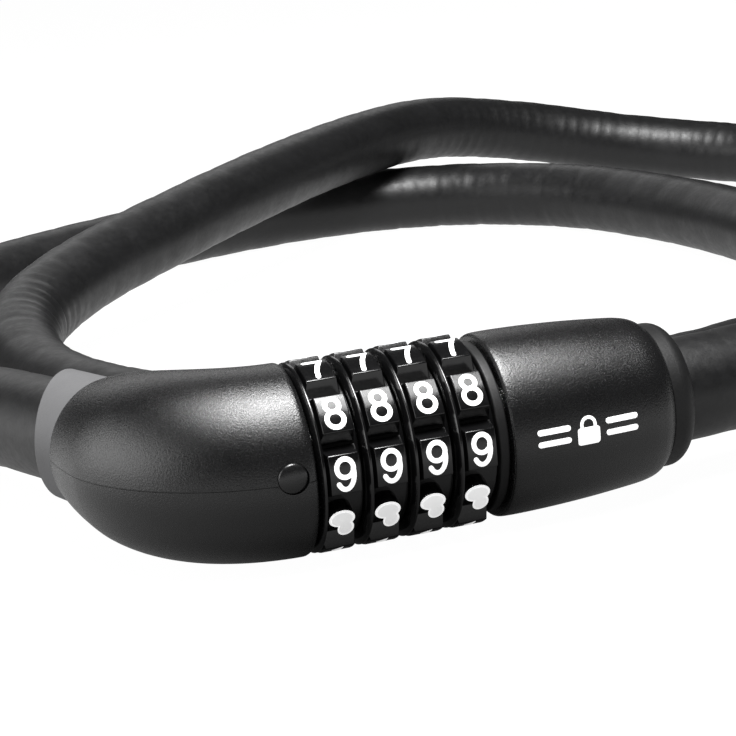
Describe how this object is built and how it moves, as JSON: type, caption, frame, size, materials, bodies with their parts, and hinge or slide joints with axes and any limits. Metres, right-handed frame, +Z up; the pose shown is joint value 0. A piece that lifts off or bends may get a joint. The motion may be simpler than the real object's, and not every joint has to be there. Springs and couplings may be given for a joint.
{
  "type": "cable lock",
  "caption": "Combination cable lock: a barrel with number dials and a pull-out plug joins both ends of a thick armoured cable lying in two loose turns.",
  "frame": {"origin": "under the middle of the lock body (elbow, dials and plug), on the table it lies on", "axes": "+X along the barrel from the elbow to the plug, -Y the front with the numbers, +Z up"},
  "size_m": [0.266, 0.2548, 0.0312],
  "materials": {
    "housing_plastic": "satin black moulded housing with a fine grain",
    "collar_plastic": "soft matt grey-black sleeve",
    "retainer_plastic": "matt black",
    "dial_plastic": "glossy black with white numbers",
    "cable_sheath": "flexible black sheath, faintly ribbed over the sleeves",
    "blackened_pin": "black oxide",
    "cast_zinc": "die-cast zinc",
    "plain_steel": "plated steel"
  },
  "bodies": {
    "lock_body": {"elbow_shell_upper": "housing_plastic", "elbow_shell_lower": "housing_plastic", "elbow_casting": "cast_zinc", "elbow_pin": "blackened_pin", "elbow_collar": "collar_plastic", "elbow_ferrule": "plain_steel", "core_tube": "plain_steel", "click_spring": "plain_steel", "thrust_washer": "plain_steel", "dial_retainer": "retainer_plastic", "retaining_clip": "plain_steel", "cable_sheath": "cable_sheath", "armour_sleeves": "plain_steel", "steel_rope": "plain_steel"},
    "dial_1": {"dial_1": "dial_plastic", "code_ring_1": "cast_zinc"},
    "dial_2": {"dial_2": "dial_plastic", "code_ring_2": "cast_zinc"},
    "dial_3": {"dial_3": "dial_plastic", "code_ring_3": "cast_zinc"},
    "dial_4": {"dial_4": "dial_plastic", "code_ring_4": "cast_zinc"},
    "plug": {"plug_shell": "housing_plastic", "plug_casting": "cast_zinc", "plug_end_collar": "retainer_plastic", "plug_ferrule": "plain_steel", "locking_bolt": "plain_steel", "bolt_pin": "plain_steel"}
  },
  "joints": [
    {"name": "dial_1_turn", "type": "hinge", "parent": "lock_body", "child": "dial_1", "pos_m": [0.00054, -0.01416, 0.0136], "axis": [1, 0, 0], "continuous": true},
    {"name": "dial_2_turn", "type": "hinge", "parent": "lock_body", "child": "dial_2", "pos_m": [0.00054, -0.01416, 0.0136], "axis": [1, 0, 0], "continuous": true},
    {"name": "dial_3_turn", "type": "hinge", "parent": "lock_body", "child": "dial_3", "pos_m": [0.00054, -0.01416, 0.0136], "axis": [1, 0, 0], "continuous": true},
    {"name": "dial_4_turn", "type": "hinge", "parent": "lock_body", "child": "dial_4", "pos_m": [0.00054, -0.01416, 0.0136], "axis": [1, 0, 0], "continuous": true},
    {"name": "plug_slide", "type": "slide", "parent": "lock_body", "child": "plug", "axis": [1, 0, 0], "range_m": [0, 0.045], "deforming": ["cable_sheath", "armour_sleeves", "steel_rope"]}
  ]
}
